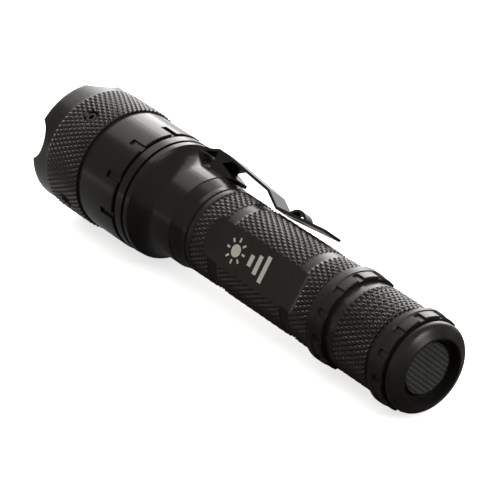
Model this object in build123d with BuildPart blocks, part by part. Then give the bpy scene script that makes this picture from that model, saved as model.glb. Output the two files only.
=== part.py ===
from build123d import *
import math
import os

os.makedirs("parts", exist_ok=True)

# The optical axis is the X axis: x = 0 is the flat land at the tail and +X runs to the crown.
# +Z is up with the light lying on its side. Angles round the axis go from +Z towards +Y.
# Names ending in _x are stations along the axis, worked out from the lengths before them.

# Fits and clearances
run_fit = 0.1
joint_gap = 0.3
free_gap = 0.25
edge_break = 0.25
cell_clearance = 0.2

# Battery cell: sets the bore and the length of everything round it
cell_r = 9.25
cell_length = 67.4
cell_cap_r = 3.6
cell_cap_height = 1.5
cell_ring_r = 8.6
cell_ring_hole_r = 4.6
cell_ring_thick = 0.4

# Tube walls and the grip radius that follows from them. Threads are plain running fits.
tube_wall = 1.65
cap_wall = 1.5
tube_bore_r = cell_r + cell_clearance
tube_thread_r = tube_bore_r + tube_wall
thread_bore_r = tube_thread_r + run_fit
grip_r = thread_bore_r + cap_wall

# Tail switch stack, from the boot's face forwards
boot_face_x = 2.0
boot_pad_r = 7.3
boot_face_thick = 1.4
boot_wall = 0.9
boot_gap = 0.6
boot_flange_thick = 1.2
stack_bore_r = tube_thread_r - 1.0
boot_flange_r = stack_bore_r - run_fit
washer_thick = 0.6
washer_ledge = 0.7
washer_hole_r = boot_pad_r - washer_ledge
carrier_length = 8.4
switch_body_r = 6.2
switch_body_length = 6.6
switch_base = 1.6
plunger_r = 2.4
plunger_head_r = 4.6
plunger_head_thick = 1.1
plunger_stem = 6.2
plunger_travel = 1.6
switch_board_thick = 1.6
retainer_thick = 4.2
retainer_hole_r = 7.6
retainer_notch_width = 2.2
retainer_notch_depth = 1.4
return_spring_r = 1.7
return_spring_wire_r = 0.2
return_spring_pitch = 0.8
tail_spring_length = 8.6
tail_spring_r = 5.6
tail_spring_top_r = 3.6
tail_spring_wire_r = 0.5
tail_spring_pitch = 2.0

# Tail cap: recess, lip and the seat of the switch stack
aperture_x = 3.2
aperture_lip = 1.6
aperture_r = boot_pad_r + boot_gap
recess_step = 1.3
tail_land = 0.5
tail_bore_r = aperture_r + recess_step
tail_land_r = tail_bore_r + tail_land
stack_x = aperture_x + aperture_lip
boot_flange_end_x = stack_x + boot_flange_thick
washer_end_x = boot_flange_end_x + washer_thick
carrier_front_x = washer_end_x + carrier_length
switch_body_x = carrier_front_x - switch_body_length
switch_board_end_x = carrier_front_x + switch_board_thick
retainer_end_x = switch_board_end_x + retainer_thick
cell_x = switch_board_end_x + tail_spring_length

# Tail cap: outside, with the rear bands set from the tail and the front bands from the joint
cap_shoulder_gap = 1.2
tail_thread_depth = 13.3
cap_shoulder_x = retainer_end_x + cap_shoulder_gap
cap_front_x = cap_shoulder_x + tail_thread_depth
tail_face_x = 1.33
tail_face_r = grip_r - 0.7
tail_lip_x = tail_face_x + 0.57
tail_lip_length = 1.6
tail_lip_end_x = tail_lip_x + tail_lip_length
tail_groove_length = 1.1
tail_groove_r = grip_r - 0.8
ring_height = 1.0
ring_step_height = 0.25
ring_r = grip_r + ring_height
ring_low_r = ring_r - ring_step_height
ring_slot_r = grip_r + 0.2
ring_slot_width = 2.0
ring_slot_count = 12
ring_slot_length = 3.2
rear_ring_length = 5.0
rear_ring_x = tail_lip_end_x + tail_groove_length
rear_ring_step_x = rear_ring_x + ring_slot_length
rear_ring_end_x = rear_ring_x + rear_ring_length
cap_groove_length = 2.3
cap_groove_r = grip_r - 0.6
cap_nose_length = 0.6
front_ring_length = 6.0
cap_taper_length = 4.3
front_ring_end_x = cap_front_x - cap_nose_length
front_ring_x = front_ring_end_x - front_ring_length
front_ring_step_x = front_ring_x + ring_slot_length
cap_knurl_x = rear_ring_end_x + cap_groove_length
cap_knurl_end_x = front_ring_x - cap_taper_length

# Front of the cell: positive cap, contact spring, driver and pill
driver_spring_length = 5.4
driver_board_recess = 0.2
neck_lip_thick = 1.0
head_thread_depth = 10.8
cell_end_x = cell_x + cell_length
cell_cap_x = cell_end_x + cell_cap_height
driver_board_x = cell_cap_x + driver_spring_length
pill_x = driver_board_x - driver_board_recess
neck_lip_x = pill_x - neck_lip_thick
head_rear_x = neck_lip_x - head_thread_depth

# Battery tube: the middle knurl fills what the end bands and grooves leave
rear_band_length = 7.2
rear_groove_length = 4.1
front_groove_length = 4.4
front_band_length = 9.3
tube_groove_r = grip_r - 0.45
grip_rear_x = cap_front_x + joint_gap
grip_front_x = head_rear_x - joint_gap
tube_rear_x = cap_shoulder_x + joint_gap
tube_front_x = neck_lip_x - joint_gap
rear_groove_x = grip_rear_x + rear_band_length
rear_groove_end_x = rear_groove_x + rear_groove_length
front_groove_end_x = grip_front_x - front_band_length
front_groove_x = front_groove_end_x - front_groove_length
flat_angle = 57.5
flat_depth = 1.76
flat_height = grip_r - flat_depth
flat_rear_run = 2.5
flat_front_run = 3.1
flat_rear_x = rear_groove_x - flat_rear_run
flat_front_x = front_groove_end_x + flat_front_run
flat_cutter_r = 3.2
thread_seal_section_r = 0.5
tube_seal_groove_width = 1.3
tube_seal_groove_r = tube_thread_r + run_fit / 2 - 2 * thread_seal_section_r
rear_seal_setback = 2.7
front_seal_setback = 2.4
rear_seal_x = grip_rear_x - rear_seal_setback
front_seal_x = grip_front_x + front_seal_setback

# Head: collar, neck, flare and rings
neck_r = grip_r + 0.8
head_r = 17.5
collar_length = 1.8
collar_cone_length = 4.1
neck_length = 8.1
flare_length = 6.3
first_ring_length = 1.9
ring_gap_length = 0.8
second_ring_length = 2.7
head_groove_length = 1.1
head_ring_length = 15.1
spigot_length = 12.9
collar_end_x = head_rear_x + collar_length
neck_x = collar_end_x + collar_cone_length
flare_x = neck_x + neck_length
flare_end_x = flare_x + flare_length
first_ring_end_x = flare_end_x + first_ring_length
second_ring_x = first_ring_end_x + ring_gap_length
second_ring_end_x = second_ring_x + second_ring_length
head_ring_x = second_ring_end_x + head_groove_length
head_ring_end_x = head_ring_x + head_ring_length
head_front_x = head_ring_end_x + spigot_length
first_ring_r = head_r - 0.5
second_ring_r = head_r - 0.3
flare_top_r = first_ring_r - 0.3
head_groove_r = head_r - 1.1
notch_count = 10
notch_angle = 23.0
notch_width = 1.9
notch_length = 5.2
notch_floor_r = head_r - 0.65
notch_end_x = head_ring_x + notch_length
spigot_wall = 1.5
spigot_step = 1.1
bezel_thread_r = head_r - spigot_step
reflector_bore_r = bezel_thread_r - spigot_wall
neck_wall = 1.5
pill_bore_r = neck_r - neck_wall
neck_lip_r = tube_bore_r + 0.75
screw_ring_depth = 0.5
screw_ring_width = 3.6
screw_ring_r = bezel_thread_r - screw_ring_depth

# Light engine
pill_r = pill_bore_r - run_fit
pill_length = 11.7
pill_web = 4.0
pill_wall = 2.5
pill_rim = 1.5
pill_front_x = pill_x + pill_length
pill_web_x = pill_front_x - pill_web
pill_cavity_r = pill_r - pill_wall
pill_rim_r = pill_r - pill_rim
reflector_bore_step = 1.0
reflector_bore_x = pill_front_x + reflector_bore_step
driver_board_r = pill_rim_r - run_fit
driver_board_thick = 1.2
driver_spring_r = 2.6
driver_spring_wire_r = 0.35
driver_spring_pitch = 1.5
led_board_r = 10.0
led_board_thick = 1.6
led_size = 5.0
led_base_thick = 0.8
led_dome_r = 2.2
ring_spacer_r = 6.0
ring_spacer_thick = 1.2
ring_spacer_collar_r = 3.9
ring_spacer_collar = 0.8
ring_spacer_window = led_size + 2 * run_fit
reflector_r = reflector_bore_r - run_fit
reflector_rim = 0.8
reflector_mouth_r = reflector_r - reflector_rim
reflector_hole_r = ring_spacer_collar_r + run_fit
reflector_back_r = 6.8
reflector_flange_thick = 2.0
wire_r = 0.5
wire_offset = 7.2

# Front window and strike bezel
bezel_gap = 1.0
bezel_step = 0.7
bezel_knurl_length = 14.3
bezel_r = head_r + bezel_step
bezel_bore_r = bezel_thread_r + run_fit
bezel_rear_x = head_ring_end_x + bezel_gap
bezel_knurl_end_x = bezel_rear_x + bezel_knurl_length
bezel_seal_clearance = 0.02
bezel_seal_section_r = bezel_gap / 2 - bezel_seal_clearance
bezel_seal_r = bezel_thread_r + bezel_gap / 2
lens_r = bezel_bore_r - joint_gap
lens_thick = 2.4
lens_end_x = head_front_x + lens_thick
gasket_section_r = 0.7
gasket_r = lens_r - gasket_section_r - run_fit
bezel_lip = 1.9
bezel_lip_x = lens_end_x + 2 * gasket_section_r
crown_r = bezel_r - 0.4
crown_bore_r = bezel_bore_r - bezel_lip
crown_height = 5.6
crown_x = bezel_lip_x + crown_height
scallop_count = 4
scallop_angle = 70.0
scallop_depth = 3.6
scallop_r = 6.4
set_screw_angle = 25.0
set_screw_setback = 7.3
set_screw_x = bezel_rear_x + set_screw_setback
set_screw_r = 1.5
set_screw_length = 1.5
set_screw_hex = 1.5
set_screw_hex_depth = 0.8
screw_hole_mouth = 0.45

# Pocket clip: (station, radius) points of its middle line, set from the neck and the grip
clip_angle = -43.0
clip_width = 7.5
clip_thick = 0.8
saddle_length = 3.9
saddle_height = 4.2
saddle_seat_gap = 0.05
saddle_end_x = flare_x - 0.2
saddle_x = saddle_end_x - saddle_length
saddle_top = neck_r + saddle_height
saddle_foot = (saddle_x - 4.9, neck_r + 0.5)
saddle_notch = (saddle_x + 0.6, neck_r + 2.0)
saddle_brow_x = saddle_x - 2.2
clip_hump_r = saddle_top + clip_thick / 2
clip_hump = (saddle_x - 0.2, clip_hump_r)
clip_hump_end = (saddle_end_x + 0.5, clip_hump_r)
clip_dip = (clip_hump_end[0] + 1.8, clip_hump_r - 0.8)
clip_curl = (clip_hump_end[0] + 4.4, clip_hump_r - 1.6)
clip_curl_r = 0.75
clip_knee = (clip_hump[0] - 18.8, neck_r + 2.7)
clip_touch = (clip_knee[0] - 6.0, grip_r + joint_gap + clip_thick / 2)
clip_tip = (clip_touch[0] - 19.0, clip_touch[1] + 1.8)
clip_break_x = clip_hump[0] - 2.8
loop_rear_x = clip_touch[0] - 9.45
loop_length = 6.2
loop_rise = 2.0
loop_width = 3.4
clip_screw_x = saddle_x + 2.0
clip_screw_pitch = 4.0
clip_screw_r = 0.8
clip_screw_head = 0.55
clip_screw_hex = 1.0
clip_screw_hex_depth = 0.35
clip_screw_depth = 1.0


def station(x, radius, angle):
    turn = math.radians(angle)
    out = (0, math.sin(turn), math.cos(turn))
    return Plane(origin=(x, radius * out[1], radius * out[2]), x_dir=(1, 0, 0), z_dir=out)


def side_plane(angle):
    turn = math.radians(angle)
    return Plane(origin=(0, 0, 0), x_dir=(1, 0, 0), z_dir=(0, -math.cos(turn), math.sin(turn)))


def turned(*profile, mode=Mode.ADD):
    with BuildSketch(Plane.XZ) as section:
        with BuildLine():
            Polyline(*profile, close=True)
        make_face()
    revolve(section.sketch, axis=Axis.X, mode=mode)


def tube(start, end, outer, inner, mode=Mode.ADD):
    turned((start, inner), (end, inner), (end, outer), (start, outer), mode=mode)


def disc(start, end, radius, mode=Mode.ADD):
    tube(start, end, radius, 0, mode=mode)


def seal(x, radius, section):
    with BuildSketch(Plane.XZ) as outline:
        with Locations((x, radius)):
            Circle(section)
    revolve(outline.sketch, axis=Axis.X)


def coil(start, end, radius, end_radius, wire, pitch):
    length = end - start
    cone = math.degrees(math.atan2(end_radius - radius, length))
    with BuildLine() as path:
        Helix(pitch, length, radius, center=(start, 0, 0), direction=(1, 0, 0), cone_angle=cone)
    with BuildSketch(Plane(origin=path.line @ 0, z_dir=path.line % 0)) as section:
        Circle(wire)
    sweep(section.sketch, path=path.line, is_frenet=True)


def ring_slots(start, end):
    length = end - start
    for step in range(ring_slot_count):
        with BuildSketch(station(start, ring_slot_r, step * 360 / ring_slot_count)) as slot:
            SlotOverall(2 * length, ring_slot_width)
        extrude(slot.sketch, amount=ring_r, mode=Mode.SUBTRACT)


def save(builder, name):
    builder.part.label = name
    export_step(builder.part, "parts/" + name + ".step")


# ---- Tail cap: barrel with two slotted grip rings, boot recess and thread bore
with BuildPart() as tail_cap:
    turned(
        (0, tail_bore_r),
        (0, tail_land_r),
        (tail_face_x, tail_face_r),
        (tail_lip_x, grip_r),
        (tail_lip_end_x, grip_r),
        (tail_lip_end_x + edge_break, tail_groove_r),
        (rear_ring_x, tail_groove_r),
        (rear_ring_x, ring_low_r - edge_break),
        (rear_ring_x + edge_break, ring_low_r),
        (rear_ring_step_x, ring_low_r),
        (rear_ring_step_x + edge_break, ring_r),
        (rear_ring_end_x - edge_break, ring_r),
        (rear_ring_end_x, ring_r - edge_break),
        (rear_ring_end_x, cap_groove_r),
        (cap_knurl_x - edge_break, cap_groove_r),
        (cap_knurl_x, grip_r),
        (cap_knurl_end_x, grip_r),
        (front_ring_x, cap_groove_r),
        (front_ring_x, ring_low_r - edge_break),
        (front_ring_x + edge_break, ring_low_r),
        (front_ring_step_x, ring_low_r),
        (front_ring_step_x + edge_break, ring_r),
        (front_ring_end_x - edge_break, ring_r),
        (front_ring_end_x, ring_r - edge_break),
        (cap_front_x, grip_r),
        (cap_front_x, thread_bore_r),
        (cap_shoulder_x, thread_bore_r),
        (cap_shoulder_x, stack_bore_r),
        (stack_x, stack_bore_r),
        (stack_x, aperture_r),
        (aperture_x, aperture_r),
        (aperture_x, tail_bore_r),
    )
    ring_slots(rear_ring_x, rear_ring_step_x)
    ring_slots(front_ring_x, front_ring_step_x)
save(tail_cap, "tail_cap")

# ---- Switch boot: rubber pad through the aperture, clamped by its flange
boot_inner_r = boot_pad_r - boot_wall
boot_inner_x = boot_face_x + boot_face_thick
with BuildPart() as switch_boot:
    turned(
        (boot_face_x, 0),
        (boot_face_x, boot_pad_r - edge_break),
        (boot_face_x + edge_break, boot_pad_r),
        (stack_x, boot_pad_r),
        (stack_x, boot_flange_r),
        (boot_flange_end_x, boot_flange_r),
        (boot_flange_end_x, boot_inner_r),
        (boot_inner_x, boot_inner_r),
        (boot_inner_x, 0),
    )
save(switch_boot, "switch_boot")

# ---- Boot washer: thin steel ring that presses the boot flange on the cap's lip
with BuildPart() as boot_washer:
    tube(boot_flange_end_x, washer_end_x, boot_flange_r, washer_hole_r)
save(boot_washer, "boot_washer")

# ---- Switch carrier: moulded cup that centres the switch body
switch_pocket_r = switch_body_r + run_fit
carrier_lip_r = plunger_head_r + free_gap
with BuildPart() as switch_carrier:
    tube(washer_end_x, carrier_front_x, boot_flange_r, switch_pocket_r)
    tube(washer_end_x, switch_body_x, switch_pocket_r, carrier_lip_r)
save(switch_carrier, "switch_carrier")

# ---- Switch body: housing of the click switch with the plunger guide
plunger_bore_r = plunger_r + run_fit
switch_floor_x = carrier_front_x - switch_base
with BuildPart() as switch_body:
    disc(switch_body_x, carrier_front_x, switch_body_r)
    disc(switch_body_x, switch_floor_x, plunger_bore_r, mode=Mode.SUBTRACT)
save(switch_body, "switch_body")

# ---- Switch plunger: headed pin between the boot pad and the return spring
plunger_head_x = boot_inner_x + run_fit
plunger_neck_x = plunger_head_x + plunger_head_thick
plunger_end_x = plunger_neck_x + plunger_stem
spring_seat_r = return_spring_r - return_spring_wire_r - run_fit
spring_pilot = plunger_travel / 2
with BuildPart() as switch_plunger:
    disc(plunger_head_x, plunger_neck_x, plunger_head_r)
    disc(plunger_neck_x, plunger_end_x, plunger_r)
    disc(plunger_end_x, plunger_end_x + spring_pilot / 2, spring_seat_r)
save(switch_plunger, "switch_plunger")

# ---- Return spring: small coil behind the plunger
with BuildPart() as return_spring:
    coil(
        plunger_end_x + return_spring_wire_r + run_fit,
        switch_floor_x - return_spring_wire_r - run_fit,
        return_spring_r,
        return_spring_r,
        return_spring_wire_r,
        return_spring_pitch,
    )
save(return_spring, "return_spring")

# ---- Switch board: round circuit board behind the switch body
with BuildPart() as switch_board:
    disc(carrier_front_x, switch_board_end_x, boot_flange_r)
save(switch_board, "switch_board")

# ---- Switch retainer: threaded brass ring with two spanner notches
with BuildPart() as switch_retainer:
    tube(switch_board_end_x, retainer_end_x, boot_flange_r, retainer_hole_r)
    with BuildSketch(Plane.YZ.offset(retainer_end_x - retainer_notch_depth)):
        Rectangle(2 * stack_bore_r, retainer_notch_width)
    extrude(amount=retainer_notch_depth, mode=Mode.SUBTRACT)
save(switch_retainer, "switch_retainer")

# ---- Tail spring: conical contact spring from the switch board to the cell
with BuildPart() as tail_spring:
    coil(
        switch_board_end_x + tail_spring_wire_r,
        cell_x - tail_spring_wire_r,
        tail_spring_r,
        tail_spring_top_r,
        tail_spring_wire_r,
        tail_spring_pitch,
    )
save(tail_spring, "tail_spring")

# ---- Battery tube: knurled grip between two threads, with two opposite milled flats
flat_length = flat_front_x - flat_rear_x
flat_middle_x = (flat_front_x + flat_rear_x) / 2
with BuildPart() as battery_tube:
    turned(
        (tube_rear_x, tube_bore_r),
        (tube_rear_x, tube_thread_r - edge_break),
        (tube_rear_x + edge_break, tube_thread_r),
        (grip_rear_x, tube_thread_r),
        (grip_rear_x, grip_r - edge_break),
        (grip_rear_x + edge_break, grip_r),
        (rear_groove_x, grip_r),
        (rear_groove_x + edge_break, tube_groove_r),
        (rear_groove_end_x, tube_groove_r),
        (rear_groove_end_x, grip_r),
        (front_groove_x, grip_r),
        (front_groove_x + edge_break, tube_groove_r),
        (front_groove_end_x, tube_groove_r),
        (front_groove_end_x, grip_r),
        (grip_front_x - edge_break, grip_r),
        (grip_front_x, grip_r - edge_break),
        (grip_front_x, tube_thread_r),
        (tube_front_x - edge_break, tube_thread_r),
        (tube_front_x, tube_thread_r - edge_break),
        (tube_front_x, tube_bore_r),
    )
    for seal_x in (rear_seal_x, front_seal_x):
        seal_start_x = seal_x - tube_seal_groove_width / 2
        seal_end_x = seal_x + tube_seal_groove_width / 2
        tube(seal_start_x, seal_end_x, grip_r, tube_seal_groove_r, mode=Mode.SUBTRACT)
    for side in (flat_angle, flat_angle + 180):
        with BuildSketch(side_plane(side)):
            with Locations((flat_middle_x, flat_height + flat_cutter_r)):
                SlotOverall(flat_length, 2 * flat_cutter_r)
        extrude(amount=grip_r, both=True, mode=Mode.SUBTRACT)
save(battery_tube, "battery_tube")

# ---- Thread seals: one O-ring on each end of the battery tube
seal_centre_r = tube_seal_groove_r + thread_seal_section_r
with BuildPart() as rear_o_ring:
    seal(rear_seal_x, seal_centre_r, thread_seal_section_r)
save(rear_o_ring, "rear_o_ring")

with BuildPart() as front_o_ring:
    seal(front_seal_x, seal_centre_r, thread_seal_section_r)
save(front_o_ring, "front_o_ring")

# ---- Battery cell: wrapped can, insulating ring and raised positive cap
with BuildPart() as battery_cell:
    disc(cell_x, cell_end_x, cell_r)
    chamfer(battery_cell.edges().filter_by(GeomType.CIRCLE), edge_break)
save(battery_cell, "battery_cell")

with BuildPart() as cell_insulator:
    tube(cell_end_x, cell_end_x + cell_ring_thick, cell_ring_r, cell_ring_hole_r)
save(cell_insulator, "cell_insulator")

with BuildPart() as cell_positive_cap:
    disc(cell_end_x, cell_cap_x, cell_cap_r)
    chamfer(cell_positive_cap.edges().sort_by(Axis.X)[-1], edge_break)
save(cell_positive_cap, "cell_positive_cap")

# ---- Head body: collar, neck, flared bell, cooling rings and the bezel thread
flare_rise = flare_top_r - neck_r
flare_r = (flare_length**2 + flare_rise**2) / (2 * flare_rise)
flare_mid_x = (flare_x + flare_end_x) / 2
flare_mid_r = neck_r + flare_r - math.sqrt(flare_r**2 - (flare_mid_x - flare_x) ** 2)
notch_start_x = (second_ring_end_x + head_ring_x) / 2
notch_middle_x = (notch_start_x + notch_end_x) / 2
with BuildPart() as head_body:
    with BuildSketch(Plane.XZ):
        with BuildLine():
            ThreePointArc((flare_x, neck_r), (flare_mid_x, flare_mid_r), (flare_end_x, flare_top_r))
            Polyline(
                (flare_end_x, flare_top_r),
                (flare_end_x + edge_break, first_ring_r),
                (first_ring_end_x, first_ring_r),
                (first_ring_end_x, head_groove_r),
                (second_ring_x, head_groove_r),
                (second_ring_x, second_ring_r),
                (second_ring_end_x, second_ring_r),
                (second_ring_end_x, head_groove_r),
                (head_ring_x, head_groove_r),
                (head_ring_x, head_r - edge_break),
                (head_ring_x + edge_break, head_r),
                (head_ring_end_x - edge_break, head_r),
                (head_ring_end_x, head_r - edge_break),
                (head_ring_end_x, bezel_thread_r),
                (head_front_x, bezel_thread_r),
                (head_front_x, reflector_bore_r),
                (reflector_bore_x, reflector_bore_r),
                (reflector_bore_x, pill_bore_r),
                (pill_x, pill_bore_r),
                (pill_x, neck_lip_r),
                (neck_lip_x, neck_lip_r),
                (neck_lip_x, thread_bore_r),
                (head_rear_x, thread_bore_r),
                (head_rear_x, grip_r - edge_break),
                (head_rear_x + edge_break, grip_r),
                (collar_end_x, grip_r),
                (neck_x, neck_r - edge_break),
                (neck_x + edge_break, neck_r),
                (flare_x, neck_r),
            )
        make_face()
    revolve(axis=Axis.X)
    screw_ring_x = set_screw_x - screw_ring_width / 2
    screw_ring_end_x = set_screw_x + screw_ring_width / 2
    tube(screw_ring_x, screw_ring_end_x, head_r, screw_ring_r, mode=Mode.SUBTRACT)
    for step in range(notch_count):
        with BuildSketch(station(notch_middle_x, notch_floor_r, notch_angle + step * 360 / notch_count)):
            Rectangle(notch_end_x - notch_start_x, notch_width)
        extrude(amount=head_r, mode=Mode.SUBTRACT)
    for side in (-clip_screw_pitch / 2, clip_screw_pitch / 2):
        with BuildSketch(station(clip_screw_x, neck_r - clip_screw_depth, clip_angle)):
            with Locations((0, side)):
                Circle(clip_screw_r + run_fit)
        extrude(amount=neck_r, mode=Mode.SUBTRACT)
save(head_body, "head_body")

# ---- Pill: heat sink cup that carries the driver and the emitter board
driver_board_end_x = driver_board_x + driver_board_thick
with BuildPart() as pill:
    disc(pill_x, pill_front_x, pill_r)
    disc(pill_x, driver_board_end_x, pill_rim_r, mode=Mode.SUBTRACT)
    disc(driver_board_end_x, pill_web_x, pill_cavity_r, mode=Mode.SUBTRACT)
    for side in (-wire_offset, wire_offset):
        with BuildSketch(Plane.YZ.offset(pill_web_x)):
            with Locations((side, 0)):
                Circle(2 * wire_r)
        extrude(amount=pill_front_x - pill_web_x, mode=Mode.SUBTRACT)
save(pill, "pill")

# ---- Driver board with its parts, contact spring and the two emitter wires
chip_size = 5.0
chip_thick = 1.4
coil_block_size = 6.0
coil_block_thick = 3.0
component_offset = 3.6
with BuildPart() as driver_board:
    disc(driver_board_x, driver_board_end_x, driver_board_r)
save(driver_board, "driver_board")

with BuildPart() as driver_chip:
    with BuildSketch(Plane.YZ.offset(driver_board_end_x)):
        with Locations((0, component_offset)):
            Rectangle(chip_size, chip_size)
    extrude(amount=chip_thick)
save(driver_chip, "driver_chip")

with BuildPart() as driver_coil:
    with BuildSketch(Plane.YZ.offset(driver_board_end_x)):
        with Locations((0, -component_offset)):
            RectangleRounded(coil_block_size, coil_block_size, edge_break)
    extrude(amount=coil_block_thick)
save(driver_coil, "driver_coil")

with BuildPart() as driver_spring:
    coil(
        cell_cap_x + driver_spring_wire_r,
        driver_board_x - driver_spring_wire_r,
        driver_spring_r,
        driver_spring_r,
        driver_spring_wire_r,
        driver_spring_pitch,
    )
save(driver_spring, "driver_spring")

led_board_end_x = pill_front_x + led_board_thick
with BuildPart() as led_wires:
    for side in (-wire_offset, wire_offset):
        with BuildSketch(Plane.YZ.offset(driver_board_end_x)):
            with Locations((side, 0)):
                Circle(wire_r)
        extrude(amount=led_board_end_x - driver_board_end_x)
save(led_wires, "led_wires")

# ---- Emitter board, emitter and its dome
with BuildPart() as led_board:
    disc(pill_front_x, led_board_end_x, led_board_r)
    for side in (-wire_offset, wire_offset):
        with BuildSketch(Plane.YZ.offset(pill_front_x)):
            with Locations((side, 0)):
                Circle(wire_r + run_fit)
        extrude(amount=led_board_thick, mode=Mode.SUBTRACT)
save(led_board, "led_board")

led_top_x = led_board_end_x + led_base_thick
with BuildPart() as led_emitter:
    with BuildSketch(Plane.YZ.offset(led_board_end_x)):
        Rectangle(led_size, led_size)
    extrude(amount=led_base_thick)
save(led_emitter, "led_emitter")

with BuildPart() as led_dome:
    with Locations((led_top_x, 0, 0)):
        Sphere(led_dome_r)
    split(bisect_by=Plane.YZ.offset(led_top_x), keep=Keep.TOP)
save(led_dome, "led_dome")

# ---- Centring ring: white spacer between the emitter board and the reflector
ring_spacer_end_x = led_board_end_x + ring_spacer_thick
with BuildPart() as centring_ring:
    disc(led_board_end_x, ring_spacer_end_x, ring_spacer_r)
    disc(ring_spacer_end_x, ring_spacer_end_x + ring_spacer_collar, ring_spacer_collar_r)
    with BuildSketch(Plane.YZ.offset(led_board_end_x)):
        Rectangle(ring_spacer_window, ring_spacer_window)
    extrude(amount=ring_spacer_thick + ring_spacer_collar, mode=Mode.SUBTRACT)
save(centring_ring, "centring_ring")

# ---- Reflector: parabolic cup with a rim that sits in the head's mouth
reflector_x = ring_spacer_end_x
reflector_end_x = head_front_x
reflector_length = reflector_end_x - reflector_x
focal_span = (reflector_mouth_r**2 - reflector_hole_r**2) / reflector_length
dish_steps = 12
dish = []
for step in range(dish_steps + 1):
    dish_x = reflector_x + reflector_length * step / dish_steps
    dish_r = math.sqrt(reflector_hole_r**2 + focal_span * (dish_x - reflector_x))
    dish.append((dish_x, dish_r))
with BuildPart() as reflector:
    with BuildSketch(Plane.XZ):
        with BuildLine():
            Spline(*dish)
            Polyline(
                (reflector_end_x, reflector_mouth_r),
                (reflector_end_x, reflector_r),
                (reflector_end_x - reflector_flange_thick, reflector_r),
                (reflector_x, reflector_back_r),
                (reflector_x, reflector_hole_r),
            )
        make_face()
    revolve(axis=Axis.X)
save(reflector, "reflector")

# ---- Front window, its gasket and the bezel seal
with BuildPart() as lens:
    disc(head_front_x, lens_end_x, lens_r)
    chamfer(lens.edges().filter_by(GeomType.CIRCLE), edge_break)
save(lens, "lens")

with BuildPart() as lens_gasket:
    seal(lens_end_x + gasket_section_r, gasket_r, gasket_section_r)
save(lens_gasket, "lens_gasket")

with BuildPart() as bezel_o_ring:
    seal((head_ring_end_x + bezel_rear_x) / 2, bezel_seal_r, bezel_seal_section_r)
save(bezel_o_ring, "bezel_o_ring")

# ---- Strike bezel: knurled ring with a scalloped crown and four screw holes
scallop_x = crown_x + scallop_r - scallop_depth
screw_hole_r = set_screw_r + run_fit / 2
with BuildPart() as strike_bezel:
    turned(
        (bezel_rear_x, bezel_bore_r),
        (bezel_rear_x, bezel_r - edge_break),
        (bezel_rear_x + edge_break, bezel_r),
        (bezel_knurl_end_x, bezel_r),
        (bezel_knurl_end_x + edge_break, crown_r),
        (crown_x - edge_break, crown_r),
        (crown_x, crown_r - edge_break),
        (crown_x, crown_bore_r + edge_break),
        (crown_x - edge_break, crown_bore_r),
        (bezel_lip_x, crown_bore_r),
        (bezel_lip_x, bezel_bore_r),
    )
    for step in range(scallop_count):
        with BuildSketch(station(scallop_x, 0, scallop_angle + step * 360 / scallop_count)):
            Circle(scallop_r)
        extrude(amount=bezel_r + edge_break, mode=Mode.SUBTRACT)
    for step in range(scallop_count):
        hole_angle = set_screw_angle + step * 360 / scallop_count
        with BuildSketch(station(set_screw_x, 0, hole_angle)):
            Circle(screw_hole_r)
        extrude(amount=bezel_r + edge_break, mode=Mode.SUBTRACT)
        with BuildSketch(station(set_screw_x, bezel_r - screw_hole_mouth, hole_angle)):
            Circle(screw_hole_r)
        extrude(amount=2 * screw_hole_mouth, taper=-45, mode=Mode.SUBTRACT)
save(strike_bezel, "strike_bezel")

# ---- Bezel set screws: four grub screws that lock the bezel on the head
with BuildPart() as bezel_set_screws:
    for step in range(scallop_count):
        screw_seat = screw_ring_r + run_fit / 2
        with BuildSketch(station(set_screw_x, screw_seat, set_screw_angle + step * 360 / scallop_count)):
            Circle(set_screw_r)
        extrude(amount=set_screw_length)
    for step in range(scallop_count):
        socket_r = screw_ring_r + run_fit / 2 + set_screw_length - set_screw_hex_depth
        with BuildSketch(station(set_screw_x, socket_r, set_screw_angle + step * 360 / scallop_count)):
            RegularPolygon(set_screw_hex / 2, 6, major_radius=False)
        extrude(amount=set_screw_hex_depth, mode=Mode.SUBTRACT)
save(bezel_set_screws, "bezel_set_screws")

# ---- Clip saddle: block curved to the neck, with a sloping foot and a flat top under the clip
clip_slope = (clip_hump[1] - clip_knee[1]) / (clip_hump[0] - clip_knee[0])
clip_break = (clip_break_x, clip_knee[1] + clip_slope * (clip_break_x - clip_knee[0]))
saddle_brow_r = clip_break[1] + clip_slope * (saddle_brow_x - clip_break_x) - clip_thick / 2
saddle_bore_r = neck_r + saddle_seat_gap
clip_hole_r = clip_screw_r + run_fit
with BuildPart() as clip_saddle:
    with BuildSketch(side_plane(clip_angle)):
        with BuildLine():
            Polyline(
                (saddle_foot[0], 0),
                saddle_foot,
                saddle_notch,
                (saddle_brow_x, saddle_brow_r - saddle_seat_gap),
                (clip_hump[0], saddle_top),
                (saddle_end_x, saddle_top),
                (saddle_end_x, 0),
                close=True,
            )
        make_face()
    extrude(amount=clip_width / 2, both=True)
    disc(saddle_foot[0] - joint_gap, saddle_end_x + joint_gap, saddle_bore_r, mode=Mode.SUBTRACT)
    with BuildSketch(station(clip_screw_x, 0, clip_angle)):
        with GridLocations(clip_screw_pitch, clip_screw_pitch, 1, 2):
            Circle(clip_hole_r)
    extrude(amount=saddle_top, mode=Mode.SUBTRACT)
save(clip_saddle, "clip_saddle")


def strip(points):
    with BuildSketch(side_plane(clip_angle)) as profile:
        with BuildLine() as middle:
            Polyline(*points)
        trace(middle.line, clip_thick)
    extrude(profile.sketch, amount=clip_width / 2, both=True)


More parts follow.
